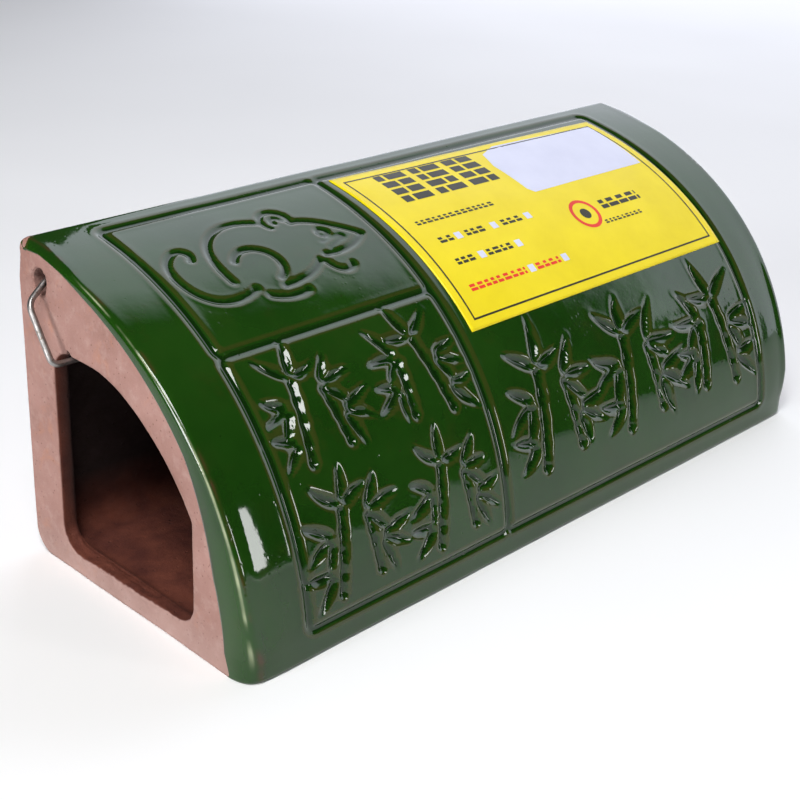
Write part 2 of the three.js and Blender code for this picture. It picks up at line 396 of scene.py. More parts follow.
def pressed(x, girth, strokes, depth, slope):
    """The relief left by pressing strokes into a surface: sunk inside, with a soft raised rim."""
    inside = np.full(x.shape, FAR_OFF)
    for stroke in strokes:
        margin = stroke.radii.max() + 4
        low = stroke.points.min(axis=0) - margin
        high = stroke.points.max(axis=0) + margin
        cols = np.where((x[0] > low[0]) & (x[0] < high[0]))[0]
        rows = np.where((girth[:, 0] > low[1]) & (girth[:, 0] < high[1]))[0]
        if len(cols) == 0 or len(rows) == 0:
            continue
        window = np.ix_(rows, cols)
        sx = x[window][..., None] - stroke.points[:, 0]
        sg = girth[window][..., None] - stroke.points[:, 1]
        signed = (np.hypot(sx, sg) - stroke.radii).min(axis=-1)
        inside[window] = np.minimum(inside[window], signed)
    sunk = smoothstep(-inside / slope + 0.25)
    return -depth * sunk + 0.1 * hump(inside, 0.9, 0.8)


def glaze_relief(x, girth):
    """How far the glazed surface stands out of the plain section, everywhere on the roof."""
    relief = frame_grooves(x, girth)
    relief += pressed(x, girth, engraving_strokes(), depth=1.95, slope=1.5)
    middle = ((PANEL_LEFT + PANEL_MID) / 2, (PANEL_SPLIT + PANEL_HIGH) / 2 + 1)
    relief += pressed(x, girth, rodent(middle), depth=1.0, slope=1.3)
    ripple = 0.012 * value_noise(x, girth, cell=4.5, seed=3)
    return soften(relief) + waviness(x, girth) + ripple


def waviness(x, girth):
    """The slow swell of a surface pressed and glazed by hand."""
    return 0.10 * value_noise(x, girth, 34, 1) + 0.05 * value_noise(x, girth, 15, 2)


def soften(field):
    """Rounds off the finest detail, as melted glaze does."""
    for axis in (0, 1):
        field = 0.5 * field + 0.25 * (np.roll(field, 1, axis) + np.roll(field, -1, axis))
    return field


# ---------------------------------------------------------------- making meshes

def add_object(name, data):
    item = bpy.data.objects.new(name, data)
    bpy.context.scene.collection.objects.link(item)
    return item


def mesh_piece(name, points, faces, materials, smooth=True):
    """A mesh object from points in millimetres."""
    mesh = bpy.data.meshes.new(name)
    points = np.asarray(points, float) * MM
    mesh.from_pydata(points.tolist(), [], [tuple(int(i) for i in face) for face in faces])
    for material in materials:
        mesh.materials.append(material)
    mesh.polygons.foreach_set("use_smooth", [smooth] * len(mesh.polygons))
    mesh.update()
    return add_object(name, mesh)


def grid_faces(rows, cols, wrap_rows=False, wrap_cols=False, flip=False):
    """Quads between a grid's points, numbered row by row."""
    i = np.arange(rows if wrap_rows else rows - 1)[:, None]
    j = np.arange(cols if wrap_cols else cols - 1)[None, :]
    next_i = (i + 1) % rows
    next_j = (j + 1) % cols
    quad = [i * cols + j, i * cols + next_j, next_i * cols + next_j, next_i * cols + j]
    quad = [np.broadcast_to(corner, (i.shape[0], j.shape[1])).ravel() for corner in quad]
    faces = np.stack(quad, axis=1)
    return faces[:, ::-1] if flip else faces


def add_attribute(piece, name, values):
    attribute = piece.data.attributes.new(name, "FLOAT", "POINT")
    attribute.data.foreach_set("value", np.asarray(values, np.float32))


# ---------------------------------------------------------------- glaze

GLAZE_STEP = 0.78  # spacing of the sheet's points
EDGE_STEPS = 16
EDGE_TURNS = np.insert(np.linspace(0, 1, EDGE_STEPS + 1)[:-1], 1, [0.003, 0.02])


def edge_profile(turn, band, run, power):
    """How far the end edge is from the end and below the section, at this share of its turn."""
    angle = turn * math.pi / 2
    along = run * (1 - math.cos(angle) ** (2 / power))
    depth = band * (1 - math.sin(angle) ** (2 / power))
    return along, depth


def glaze_grid():
    """The sheet's points in X and girth, how deep each is set in, and each column's turn."""
    girths = np.arange(OUTLINE_GIRTH[0] + 0.1, PANEL_HIGH + 20, GLAZE_STEP)
    middle = np.linspace(-1, 1, int(2 * (END - 9) / GLAZE_STEP))
    shape = edge_shape(girths)
    run = shape[1]
    rolled = [edge_profile(turn, *shape) for turn in EDGE_TURNS]
    near = [(along - END, depth) for along, depth in rolled]
    between = [(place * (END - run), np.zeros_like(girths)) for place in middle]
    far = [(END - along, depth) for along, depth in reversed(rolled)]
    x, inset = (np.stack(grid, axis=1) for grid in zip(*near, *between, *far))
    turn = np.concatenate([EDGE_TURNS, np.ones(len(middle)), EDGE_TURNS[::-1]])
    return x, np.repeat(girths[:, None], x.shape[1], axis=1), inset, turn


def glaze_reach(x):
    """The girth where the glaze ends. Its rim wanders over the back, as a dipped edge does."""
    wander = 2.2 * value_noise(x, 0 * x, 22, 7) + 0.8 * value_noise(x, 0 * x, 6, 8)
    from_end = smoothstep((END - np.abs(x)) / 14)
    return GLAZE_STOP + (8 + wander) * from_end


def glaze_skin(material):
    """The glazed roof: a fine sheet with its end edges rolled over and its rims turned under."""
    x, girth, inset, turn = glaze_grid()
    reach = glaze_reach(x)
    girth = np.minimum(girth, reach + 0.02 * (girth - reach))

    section, normal = on_section(girth)
    section = section + inward(section, normal, girth) * inset[..., None]
    from_end = END - np.abs(x)
    bare_edge = 8  # the relief fades out this close to each end
    relief = glaze_relief(np.clip(x, bare_edge - END, END - bare_edge), girth) - pillow(from_end, girth)
    relief *= smoothstep((from_end - 2) / (bare_edge - 2))
    rim_width, rim_drop = 1.6, 0.75
    height = relief - rim_drop * (1 - smoothstep((reach - girth) / rim_width))
    section = section + normal * height[..., None]
    points = np.concatenate([x[..., None], section], axis=-1)

    # Turn the rims under, so that the sheet has a thickness where it ends.
    tuck = np.array([0.6, 0, 0])
    points = np.concatenate([points[:, :1] + tuck, points, points[:, -1:] - tuck], axis=1)
    rows, cols = points.shape[:2]
    faces = grid_faces(rows, cols, flip=True)
    piece = mesh_piece("glaze_skin", points.reshape(-1, 3), faces, [material])
    smooth = np.ones((rows - 1, cols - 1), bool)
    smooth[:, [0, -1]] = False
    piece.data.polygons.foreach_set("use_smooth", smooth.ravel())
    for name, values in glaze_wear(x, girth, height, turn).items():
        add_attribute(piece, name, np.pad(values, ((0, 0), (1, 1)), mode="edge").ravel())
    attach(piece, "housing")
    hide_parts("glaze_coat")


def pillow(from_end, girth):
    """How far the roof falls away towards its end edges, most of all low down."""
    near_end = np.maximum(0, 1 - from_end / 15)
    low_down = smoothstep((100 - girth) / 40)
    return (0.12 + 0.8 * low_down) * near_end**2


def glaze_wear(x, girth, height, turn):
    """Where the glaze is thin or pooled over the relief, and the marks along its end edges. The pale
    crest line is partly glaze breaking thin and partly a painted highlight.
    """
    beside = sum(np.roll(height, shift, axis) for shift in (-2, 2) for axis in (0, 1))
    bulge = height - beside / 4
    bulge[:2] = 0
    bulge[-2:] = 0
    streaks = value_noise(x, girth, 9, 12) + 0.6 * value_noise(x, girth, 3, 13)
    stretch = smoothstep((150 - girth) / 12) * smoothstep((girth - 4) / 12)
    return {
        "thin": np.clip(bulge / 0.10, -1, 1),
        # Painted highlight along each end crest, partly glaze breaking thin there.
        "crest_break_and_highlight": hump(turn, 0.60, 0.055) * stretch * np.clip(0.6 + 0.6 * streaks, 0, 1),
        "brown": hump(turn, 0.84, 0.09) * np.clip(0.2 + 0.9 * streaks, 0, 1),
        "rim": hump(turn, 0, 0.004) * np.clip(0.7 + 0.4 * streaks, 0, 1),
    }


# ---------------------------------------------------------------- clay

def chamber_outline():
    """The room inside, which follows the roof at the wall's thickness."""
    inset = GLAZE_DEPTH + WALL
    roof = roof_curve()
    tangent = unit(np.gradient(roof, axis=0))
    line = roof - inset * np.stack([-tangent[:, 1], tangent[:, 0]], axis=1)
    low_corner = 8
    high_corner = 5
    line = line[(line[:, 0] < INNER_BACK - 4) & (line[:, 1] > INNER_FLOOR + low_corner)]
    ceiling = line[-1, 1]
    return np.concatenate([
        arc(FRONT + inset + low_corner, INNER_FLOOR + low_corner, low_corner, 270, 180),
        line[::12],
        arc(INNER_BACK - high_corner, ceiling - high_corner, high_corner, 90, 0),
        arc(INNER_BACK - low_corner, INNER_FLOOR + low_corner, low_corner, 0, -90),
    ])


def entrance_outline():
    """The arched way in, cut by hand into each end wall."""
    front, back, sill, crown, corner = -29.9, 40.0, 8.0, 80.5, 9.0
    arch_foot, arch_bulge, arch_top = 46.5, 62.0, 20.0
    arch = [(front, arch_foot), (front + corner, arch_bulge), (0, crown), (arch_top, crown)]
    return np.concatenate([
        arc(front + corner, sill + corner, corner, 270, 180),
        bezier(arch, 40),
        arc(back - corner, crown - corner, corner, 90, 0),
        arc(back - corner, sill + corner, corner, 0, -90),
    ])


def fill_out(line, step=0.7):
    """The same closed outline with points at an even, small spacing."""
    closed = np.concatenate([line, line[:1]])
    girth = girth_of(closed)
    return walk(closed, girth, np.arange(0, girth[-1], step))


def outline_girth_at(angles):
    """The girth of the outer outline in these directions from CENTRE."""
    spokes = OUTLINE - CENTRE
    turned = np.unwrap(np.arctan2(spokes[:, 1], spokes[:, 0]))
    past_start = (turned[0] - angles) % (2 * math.pi)
    return np.interp(past_start, turned[0] - turned, OUTLINE_GIRTH)


def loop_at(x, section):
    """A loop of points of the section, all at one place along X or each at its own."""
    return np.column_stack([np.broadcast_to(x, len(section)), section])


def around(reach, angles):
    """Points of the section this far from CENTRE in these directions."""
    return CENTRE + reach[:, None] * compass(angles)


EDGE_LOOPS = 9
FACE_LOOPS = 21
CUT_DEPTHS = (0.7, 1.5, 2.4, 3.3, 4.2, 5.1)


def end_rings(angles, outer, entrance, room, cut_seed):
    """Loops from the outer surface round an end edge, over the end face and into the room.

    Each is how far it is from the end, and its points.
    """
    girth = outline_girth_at(angles)
    shape = edge_shape(girth)
    under = np.where(girth < GLAZE_STOP - 1, GLAZE_DEPTH, 0.0)
    recess = 0.12
    section = around(outer, angles)
    toward = inward(section, on_section(girth)[1], girth)
    loops = []
    for turn in np.linspace(1, 0, EDGE_LOOPS):
        along, depth = edge_profile(turn, *shape)
        loops.append((along + recess, section + toward * np.maximum(depth, under)[:, None]))
    rim = loops[-1][1]
    stray = knife_stray(angles, cut_seed)
    inner_stray = 0.6 * knife_stray(angles, cut_seed + 10)
    mouth = around(entrance + stray + 0.9, angles)
    for share in np.linspace(0, 1, FACE_LOOPS + 1)[1:]:
        loops.append((recess, rim + (mouth - rim) * share))
    loops.append((recess + 0.15, around(entrance + stray + 0.3, angles)))
    for depth in CUT_DEPTHS:
        share = depth / WALL
        fade = min(1, 4 * share * (1 - share))
        chatter = 0.45 * fade * knife_stray(angles, cut_seed + 20 + int(10 * depth))
        reach = entrance + stray * (1 - share) + inner_stray * share + chatter
        loops.append((depth, around(reach, angles)))
    loops.append((WALL - 0.3, around(entrance + inner_stray + 0.4, angles)))
    for share in (0.15, 0.4, 0.7, 0.95):
        loops.append((WALL, around(entrance + (room - entrance) * share, angles)))
    return loops


def knife_stray(angles, seed):
    """How a hand-held knife strays from the entrance's outline, most of all along the sill."""
    rng = np.random.default_rng(seed)
    stray = np.zeros_like(angles)
    for wave in (3, 7, 13, 23, 41, 67, 97):
        stray += rng.uniform(0.4, 1) * np.sin(wave * angles + rng.uniform(0, 6.28)) / wave**0.5
    sill = smoothstep((-np.sin(angles) - 0.5) / 0.3)
    return stray * (0.14 + 0.95 * sill)


def clay_shell(material):
    """The clay: one closed surface, from the outside through the entrances to the room within."""
    count = 440
    angles = full_turn(count)
    outer = polar(fill_out(OUTLINE), angles)
    entrance = polar(fill_out(entrance_outline()), angles)
    room = polar(fill_out(chamber_outline()), angles)
    girth = outline_girth_at(angles)
    past_relief = [PANEL_HIGH + 2, PANEL_HIGH + 5]
    past_glaze = [189, 193]
    depths = [RELIEF_ROOM, RELIEF_ROOM, 1, 1, 0]
    under = np.interp(girth, [0, *past_relief, *past_glaze], depths)

    near = end_rings(angles, outer, entrance, room, 5)
    far = end_rings(angles, outer, entrance, room, 6)
    loops = [loop_at(x - END, section) for x, section in near]
    for x in np.linspace(-INNER_END + 2, INNER_END - 2, 44):
        loops.append(loop_at(x, around(room, angles)))
    loops += [loop_at(END - x, section) for x, section in reversed(far)]
    outside = EDGE_LOOPS + FACE_LOOPS + 1
    inside = np.zeros((len(loops), count))
    inside[outside:-outside] = 1
    backward = np.linspace(END - 14, -END + 14, 40)
    loops += [loop_at(x, around(outer - under, angles)) for x in backward]
    inside = np.pad(inside, ((0, len(backward)), (0, 0)))
    faces = grid_faces(len(loops), count, wrap_rows=True, wrap_cols=True)
    piece = mesh_piece("clay_shell", np.concatenate(loops), faces, [material])
    add_attribute(piece, "inside", inside.ravel())
    cut_holes(piece)
    roughen(piece, broad=0.16, broad_size=26, fine=0.05, fine_size=5)
    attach(piece, "housing")
    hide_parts("clay_body")


def roughen(piece, broad, broad_size, fine, fine_size):
    """Moves each point along its normal by two sizes of noise, in millimetres."""
    mesh = piece.data
    normals = np.zeros((len(mesh.vertices), 3), np.float32)
    mesh.vertex_normals.foreach_get("vector", normals.ravel())
    points = np.zeros_like(normals)
    mesh.vertices.foreach_get("co", points.ravel())
    proud = 0.02  # the most that the broad noise may raise the surface
    heights = np.empty(len(points), np.float32)
    for i, point in enumerate(points):
        place = Vector(point) / MM
        swell = broad * noise.noise(place / broad_size)
        heights[i] = min(swell, proud) + fine * (noise.noise(place / fine_size) - 0.3)
    points += normals * heights[:, None] * MM
    mesh.vertices.foreach_set("co", points.ravel())
    mesh.update()


def hole_tool(sign):
    """A flared oval plug for the corner hole."""
    angles = full_turn(40)
    wobble = 1 + 0.03 * np.sin(3 * angles + 1) + 0.02 * np.sin(5 * angles)
    circle = wobble[:, None] * compass(angles)
    stations = [(END + 1.5, 0.7), (END - 0.2, 0.4), (END - 0.7, 0.0), (INNER_END - 3, 0.0)]
    return [loop_at(sign * x, HOLE + (HOLE_HALF + flare) * circle) for x, flare in stations]


def notch_tool(sign):
    """A small V filed into the crown of the entrance, for the wire."""
    corners = np.array([(-2.1, -2), (2.1, -2), (1.8, 0.2), (0.6, 2.3), (-0.3, 2.1), (-1.7, 0.4)])
    return [loop_at(sign * x, NOTCH + corners) for x in (END + 1.5, INNER_END - 1)]


def closed_stack(rings):
    """Points and faces of a solid made of rings, with a flat cap on each end."""
    count = len(rings[0])
    points = np.concatenate(rings)
    faces = [tuple(face) for face in grid_faces(len(rings), count, wrap_cols=True)]
    faces.append(tuple(range(count))[::-1])
    faces.append(tuple(range((len(rings) - 1) * count, len(rings) * count)))
    return points, faces


def cut_holes(piece):
    """Cuts the two holes and the two notches through the end walls."""
    for tool_rings in (hole_tool(-1), hole_tool(1), notch_tool(-1), notch_tool(1)):
        points, faces = closed_stack(tool_rings)
        tool = mesh_piece("tool", points, faces, [], smooth=False)
        shape = bmesh.new()
        shape.from_mesh(tool.data)
        bmesh.ops.recalc_face_normals(shape, faces=shape.faces)
        shape.to_mesh(tool.data)
        shape.free()
        cut = piece.modifiers.new("cut", "BOOLEAN")
        cut.operation = "DIFFERENCE"
        cut.solver = "EXACT"
        cut.object = tool
        apply_modifiers(piece)
        bpy.data.objects.remove(tool)


def apply_modifiers(piece):
    """Makes the piece's modifiers part of its mesh."""
    graph = bpy.context.evaluated_depsgraph_get()
    result = bpy.data.meshes.new_from_object(piece.evaluated_get(graph))
    old = piece.data
    piece.modifiers.clear()
    piece.data = result
    bpy.data.meshes.remove(old)


# ---------------------------------------------------------------- wire

def sweep(centres, radii, sides):
    """Rings around a path, without twist."""
    centres = np.asarray(centres, float)
    tangents = unit(np.gradient(centres, axis=0))
    side = np.cross(tangents[0], (0.3, 0.9, 0.1))
    rings = []
    angles = full_turn(sides)
    for centre, tangent, radius in zip(centres, tangents, radii):
        side = side - tangent * side.dot(tangent)
        side /= np.linalg.norm(side)
        up = np.cross(tangent, side)
        rings.append(centre + radius * (np.cos(angles)[:, None] * side + np.sin(angles)[:, None] * up))
    return rings


def rounded_path(corners, reach, spacing):
    """Points along a path of straight runs, with each corner rounded off."""
    corners = [np.array(corner, float) for corner in corners]
    points = [corners[0]]
    for before, corner, after in zip(corners, corners[1:], corners[2:]):
        start, stop = (
            corner + (other - corner) / np.linalg.norm(other - corner) * reach
            for other in (before, after)
        )
        points.extend(quad_points(start, corner, stop, 11))
    points.append(corners[-1])
    filled = [points[0]]
    for a, b in zip(points, points[1:]):
        pieces = max(1, int(np.linalg.norm(b - a) / spacing))
        filled.extend(a + (b - a) * k / pieces for k in range(1, pieces + 1))
    return np.array(filled)


def bait_wire(material):
    """One length of steel wire, bent by hand: hook, shank, straight run and tail."""
    run = np.array([wire_low.y, wire_low.z]) + WIRE_RADIUS
    shank_x = wire_low.x + WIRE_RADIUS
    rise_start, rise_stop = 118, 136  # where the tail climbs from the run to the far hole
    corners = [
        (-INNER_END - 1.2, *(HOLE + (0.6, 1.4))),
        (shank_x, *(HOLE - (3.2, 4.9))),
        (shank_x, *run),
        (rise_start, *run),
        (rise_stop, *HOLE),
        (wire_high.x - 0.2, *HOLE),
    ]
    path = rounded_path(corners, reach=3.0, spacing=2.2)
    along = girth_of(path)
    from_tip = np.minimum(along, along[-1] - along)
    kink = np.stack([0 * along, np.sin(along / 17.0), np.sin(along / 23.0 + 1)], axis=1)
    path = path + 0.12 * kink * np.minimum(1, from_tip / 25)[:, None]
    taper = np.minimum(1, 0.55 + from_tip / 0.9)
    points, faces = closed_stack(sweep(path, (WIRE_RADIUS - 0.05) * taper, 20))
    piece = mesh_piece("steel_wire", points, faces, [material])
    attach(piece, "wire")
    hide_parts("bait_wire")


# ---------------------------------------------------------------- bait blocks

def block_outline():
    """A rounded square with a finger groove down each upright side, as distances from its middle."""
    half_y, half_z, groove, groove_half, power = 11.0, 12.0, 1.2, 2.2, 7
    angles = full_turn(112)
    across, up = np.abs(np.cos(angles)), np.sin(angles)
    reach = ((across / half_y) ** power + (np.abs(up) / half_z) ** power) ** (-1 / power)
    return angles, reach - groove * hump(reach * up, 0, groove_half) * (across > 0.5)


def block_end(half, reach):
    """From the side over a rounded edge, across the rough end and into the flared bore."""
    rounding, bore, flare = 2, 4.05, 0.8
    mouth = bore + flare
    face = reach - rounding
    profile = []
    for turn in np.radians([25, 50, 72, 90]):
        x = half - rounding * (1 - math.sin(turn))
        profile.append((x, reach - rounding * (1 - math.cos(turn))))
    for share in (0.2, 0.4, 0.6, 0.8):
        profile.append((half, face + (mouth - face) * share))
    profile.append((half, mouth + 0 * reach))
    profile.append((half - flare, bore + 0 * reach))
    return profile


def bait_block(number, material):
    """A pressed block: rounded outside, rough ends and a bore for the wire."""
    node = f"bait_block_{number}"
    low, high = (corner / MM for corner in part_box(node))
    middle = (low + high) / 2
    half = (high.x - low.x) / 2
    angles, reach = block_outline()
    end = block_end(half, reach)
    bore = end[-1][1]
    profile = [(x, reach) for x in np.linspace(-half + 2, half - 2, 24)]
    profile += end
    profile += [(x, bore) for x in np.linspace(half - 3, -half + 3, 12)]
    profile += [(-x, radius) for x, radius in reversed(end)]
    axis = np.array([middle.y, middle.z])
    rings = [loop_at(middle.x + x, axis + radius[:, None] * compass(angles)) for x, radius in profile]
    faces = grid_faces(len(rings), len(angles), wrap_rows=True, wrap_cols=True, flip=True)
    piece = mesh_piece(f"wax_block_{number}", np.concatenate(rings), faces, [material])
    roughen(piece, broad=0.25, broad_size=7, fine=0.12, fine_size=1.7)
    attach(piece, f"block_{number}")
    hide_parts(node)


# ---------------------------------------------------------------- label

LABEL_LOW = 82.2
LABEL_LEFT = PANEL_MID + 6.5
LABEL_WIDTH = 152.4
LABEL_RISE = 82.8
LABEL_LIFT = 0.30
INK_LIFT = LABEL_LIFT + 0.05
BORDER = 3.6
RING = (91.0, 30.4)  # middle of the round sign


def on_label(across, up, lift):
    """Points of the label, from millimetres across and up its face. It is stuck on a little askew."""
    u = across / LABEL_WIDTH
    v = up / LABEL_RISE
    lean, taper, droop = 1.6, 4.0, 2.8
    x = LABEL_LEFT + across - lean * v - taper * u * v
    girth = LABEL_LOW + up - droop * u * v
    section, normal = on_section(girth)
    section = section + normal * (waviness(x, girth) + lift)[..., None]
    return np.concatenate([x[..., None], section], axis=-1)


def patch_between(lower, upper, pieces=12):
    """A grid of face points between two lines of the label that have the same number of points."""
    share = np.linspace(0, 1, pieces + 1)[:, None, None]
    return np.array(lower, float) * (1 - share) + np.array(upper, float) * share


def box_patch(left, right, low, high):
    spacing = 2.5
    across = np.linspace(left, right, max(2, int((right - left) / spacing) + 1))
    lower = np.stack([across, np.full(across.shape, low)], axis=1)
    upper = np.stack([across, np.full(across.shape, high)], axis=1)
    return patch_between(lower, upper, max(1, int((high - low) / spacing)))


def ring_patch(inner, outer):
    return patch_between(circle_points(RING, outer), circle_points(RING, inner), 2)


def border_patches(inset, width):
    """A thin line round the label."""
    right = LABEL_WIDTH - inset
    top = LABEL_RISE - inset
    return [
        box_patch(inset, right, inset, inset + width),
        box_patch(inset, right, top - width, top),
        box_patch(inset, inset + width, inset, top),
        box_patch(right - width, right, inset, top),
    ]


def word_patches(left, right, middle, height, seed):
    """A line of print as plain bars: each word is an upper and a lower bar of uneven width."""
    gap = 0.8
    rng = np.random.default_rng(seed)
    patches = []
    place = left
    while place < right - 1:
        stop = min(right, place + height * rng.uniform(0.8, 1.3))
        shorter = place + (stop - place) * rng.uniform(0.55, 0.9)
        patches.append(box_patch(place, stop, middle - 0.5 * height, middle - 0.08 * height))
        patches.append(box_patch(place, shorter, middle + 0.10 * height, middle + 0.5 * height))
        place = stop + gap
    return patches


def title_patches(left, right, low, high):
    """Three square signs, each of stacked bars, some of them split in two."""
    rng = np.random.default_rng(11)
    signs, sign_gap = 3, 0.225
    sign = (right - left) / (signs + (signs - 1) * sign_gap)
    step = (right - left - sign) / (signs - 1)
    bars, bar_share = 4, 0.74
    rise = (high - low) / (bars - 0.28)
    patches = []
    for number in range(signs):
        start = left + number * step
        for bar in range(bars):
            foot = low + bar * rise
            split = rng.uniform(0.3, 0.65)
            for first, last in ((0, split - 0.05), (split + 0.05, 1)):
                box = (start + first * sign, start + last * sign, foot, foot + bar_share * rise)
                patches.append(box_patch(*box))
    return patches


def check_boxes(places, middle):
    half = 1.6
    return [box_patch(x - half, x + half, middle - half, middle + half) for x in places]


def white_patch():
    """The blank corner: a patch with a stepped foot and a slanting left side."""
    lower = [(75.6, 50.0), (77.8, 47.2), (102, 47.4), (146.9, 47.6)]
    upper = [(74.3, 67.2), (77.5, 76.1), (87.8, 80.4), (148.4, 78.8)]
    lines = [walk(np.array(line), range(4), np.linspace(0, 3, 49)) for line in (lower, upper)]
    return [patch_between(*lines, 18)]


# Lines of print on the label: left, right, middle and letter height
DARK_LINES = [
    (11.0, 52.5, 47.4, 2.2),
    (13.5, 20.5, 37.2, 2.8),
    (27.5, 38.5, 37.2, 2.8),
    (47.5, 58.5, 37.2, 2.8),
    (13.0, 23.5, 26.6, 2.8),
    (29.5, 43.0, 26.6, 2.8),
    (102.5, 127.0, 32.4, 4.6),
    (97.5, 121.0, 24.2, 1.8),
]
RED_LINES = [(10.6, 41.0, 15.2, 2.8), (47.0, 60.5, 15.2, 2.8)]
# Rows of boxes: where each is across the label, and their height up it
BOX_ROWS = [((23.6, 43.2, 62.6), 37.2), ((26.6, 47.0), 26.6), ((44.2, 63.6), 15.2)]


def label_print():
    """Lists of patches in millimetres across and up the label: dark ink, red ink and bare white."""
    dark = border_patches(BORDER, 0.75) + title_patches(17.5, 69.5, 59.0, 78.0)
    for seed, line in enumerate(DARK_LINES, start=30):
        dark += word_patches(*line, seed)
    dark.append(ring_patch(0.02, 2.6))
    red = []
    for seed, line in enumerate(RED_LINES, start=50):
        red += word_patches(*line, seed)
    red.append(ring_patch(5.8, 7.4))
    white = white_patch()
    for row in BOX_ROWS:
        white += check_boxes(*row)
    return dark, red, white


def label_vinyl(materials):
    """The sheet, and its print as patches of ink that follow the same curve."""
    across, up = np.meshgrid(np.linspace(0, LABEL_WIDTH, 122), np.linspace(0, LABEL_RISE, 68))
    rows, cols = across.shape
    top = on_label(across, up, LABEL_LIFT).reshape(-1, 3)
    under = on_label(across, up, 0.0).reshape(-1, 3)
    numbers = np.arange(rows * cols).reshape(rows, cols)
    sides = [numbers[0], numbers[1:, -1], numbers[-1, -2::-1], numbers[-2:0:-1, 0]]
    border = np.concatenate(sides)
    points = [top, under[border]]
    count = len(top)
    below = count + np.arange(len(border))
    skirt = [border, below, np.roll(below, -1), np.roll(border, -1)]
    faces = [grid_faces(rows, cols), np.stack(skirt, axis=1)]
    count += len(border)
    for patches in label_print():
        patch_faces = []
        for patch in patches:
            points.append(on_label(patch[..., 0], patch[..., 1], INK_LIFT).reshape(-1, 3))
            patch_faces.append(grid_faces(*patch.shape[:2]) + count)
            count += len(points[-1])
        faces.append(np.concatenate(patch_faces))
    paints = np.repeat([0, 0, 1, 2, 3], [len(part) for part in faces])
    faces = np.concatenate(faces)
    piece = mesh_piece("vinyl_label", np.concatenate(points), faces, materials)
    piece.data.polygons.foreach_set("material_index", paints)
    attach(piece, "housing")
    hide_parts("label_sheet")


# ---------------------------------------------------------------- materials

class Recipe:
    """A node material, with short names for the nodes that the finishes share."""

    def __init__(self, name):
        self.material = bpy.data.materials.new(name)
        self.material.use_nodes = True
        self.nodes = self.material.node_tree.nodes
        self.links = self.material.node_tree.links
        self.place = self.node("TexCoord").outputs["Object"]

    def set(self, node, **inputs):
        """Gives each named input a plain value, or links it to another node's output."""
        for name, value in inputs.items():
            socket = node.inputs[name.replace("_", " ")]
            if isinstance(value, bpy.types.NodeSocket):
                self.links.new(value, socket)
            else:
                socket.default_value = value

    def node(self, kind, **inputs):
        node = self.nodes.new(f"ShaderNode{kind}")
        self.set(node, **inputs)
        return node

    def noise(self, size, detail=3.0, roughness=0.55, distortion=0.0):
        """Soft noise with blobs of about this size in millimetres."""
        node = self.node("TexNoise", Vector=self.place, Scale=1 / (size * MM), Detail=detail)
        self.set(node, Roughness=roughness, Distortion=distortion)
        return node.outputs["Fac"]

    def spots(self, spacing):
        """Distance from scattered points about this many millimetres apart."""
        return self.node("TexVoronoi", Vector=self.place, Scale=1 / (spacing * MM)).outputs["Distance"]

    def attribute(self, name):
        node = self.node("Attribute")
        node.attribute_name = name
        return node.outputs["Fac"]

    def along(self, axis):
        return self.node("SeparateXYZ", Vector=self.place).outputs[axis]

    def combine(self, operation, *values):
        node = self.node("Math")
        node.operation = operation
        for value, socket in zip(values, node.inputs):
            self.links.new(value, socket)
        return node.outputs[0]

    def span(self, value, low, high, out_low=0.0, out_high=1.0):
        """Rescales a value from one range to another, held within the second."""
        node = self.node("MapRange", Value=value, From_Min=low, From_Max=high)
        self.set(node, To_Min=out_low, To_Max=out_high)
        return node.outputs["Result"]

    def mix(self, share, first, second):
        """A colour between two, each a colour or the output of an earlier mix."""
        node = self.node("Mix", Factor=share)
        node.data_type = "RGBA"
        first_colour, second_colour, colour_out = node.inputs[6], node.inputs[7], node.outputs[2]
        for socket, value in ((first_colour, first), (second_colour, second)):
            if isinstance(value, tuple):
                socket.default_value = (*value, 1)
            else:
                self.links.new(value, socket)
        return colour_out

    def bump(self, value, depth, before=None):
        """Bumps of this depth in millimetres, on top of any earlier ones."""
        node = self.node("Bump", Height=value, Distance=depth * MM)
        if before:
            self.set(node, Normal=before)
        return node.outputs["Normal"]

    def wander(self, value, low=0.0, high=1.0):
        """Spreads the middle of a noise over a range."""
        return self.span(value, 0.3, 0.7, low, high)

    def finish(self, colour, normal, **inputs):
        self.set(self.nodes["Principled BSDF"], Base_Color=colour, Normal=normal, **inputs)
        return self.material


def glaze_material():
    """Dark green glaze. On the end crests it has a pale line, which is partly glaze breaking thin and
    partly a painted highlight; beside them it breaks brown, and it pools darker.
    """
    r = Recipe("green_glaze")
    body = r.mix(r.span(r.noise(38), 0.35, 0.65), (0.0055, 0.034, 0.0014), (0.0100, 0.047, 0.0030))
    cloudy = r.mix(r.span(r.noise(14, 4, 0.6), 0.58, 0.75, 0, 0.5), body, (0.022, 0.036, 0.0035))
    pooled = r.mix(r.span(r.attribute("thin"), -0.2, -1.0), cloudy, (0.003, 0.022, 0.0012))
    thin = r.mix(r.span(r.attribute("thin"), 0.5, 1.0, 0, 0.6), pooled, (0.040, 0.042, 0.007))
    brown = r.mix(r.attribute("brown"), thin, (0.055, 0.030, 0.012))
    # Painted highlight: a pale line along the end crests, partly glaze breaking thin.
    pale_break_and_highlight = r.mix(r.attribute("crest_break_and_highlight"), brown, (0.40, 0.44, 0.27))
    rim = r.mix(r.attribute("rim"), pale_break_and_highlight, (0.030, 0.018, 0.012))
    specks = r.mix(r.span(r.spots(7), 0.07, 0.02, 0, 0.7), rim, (0.02, 0.02, 0.006))
    peel = r.bump(r.noise(2.2, 1), 0.010)
    pinholes = r.bump(r.span(r.spots(8), 0.02, 0.06), 0.05, peel)
    near_crest = r.combine("MULTIPLY", r.span(r.spots(2.6), 0.26, 0.10), r.attribute("brown"))
    blisters = r.bump(near_crest, 0.35, pinholes)
    return r.finish(specks, blisters, Roughness=r.wander(r.noise(20, 5), 0.035, 0.075), IOR=1.5)


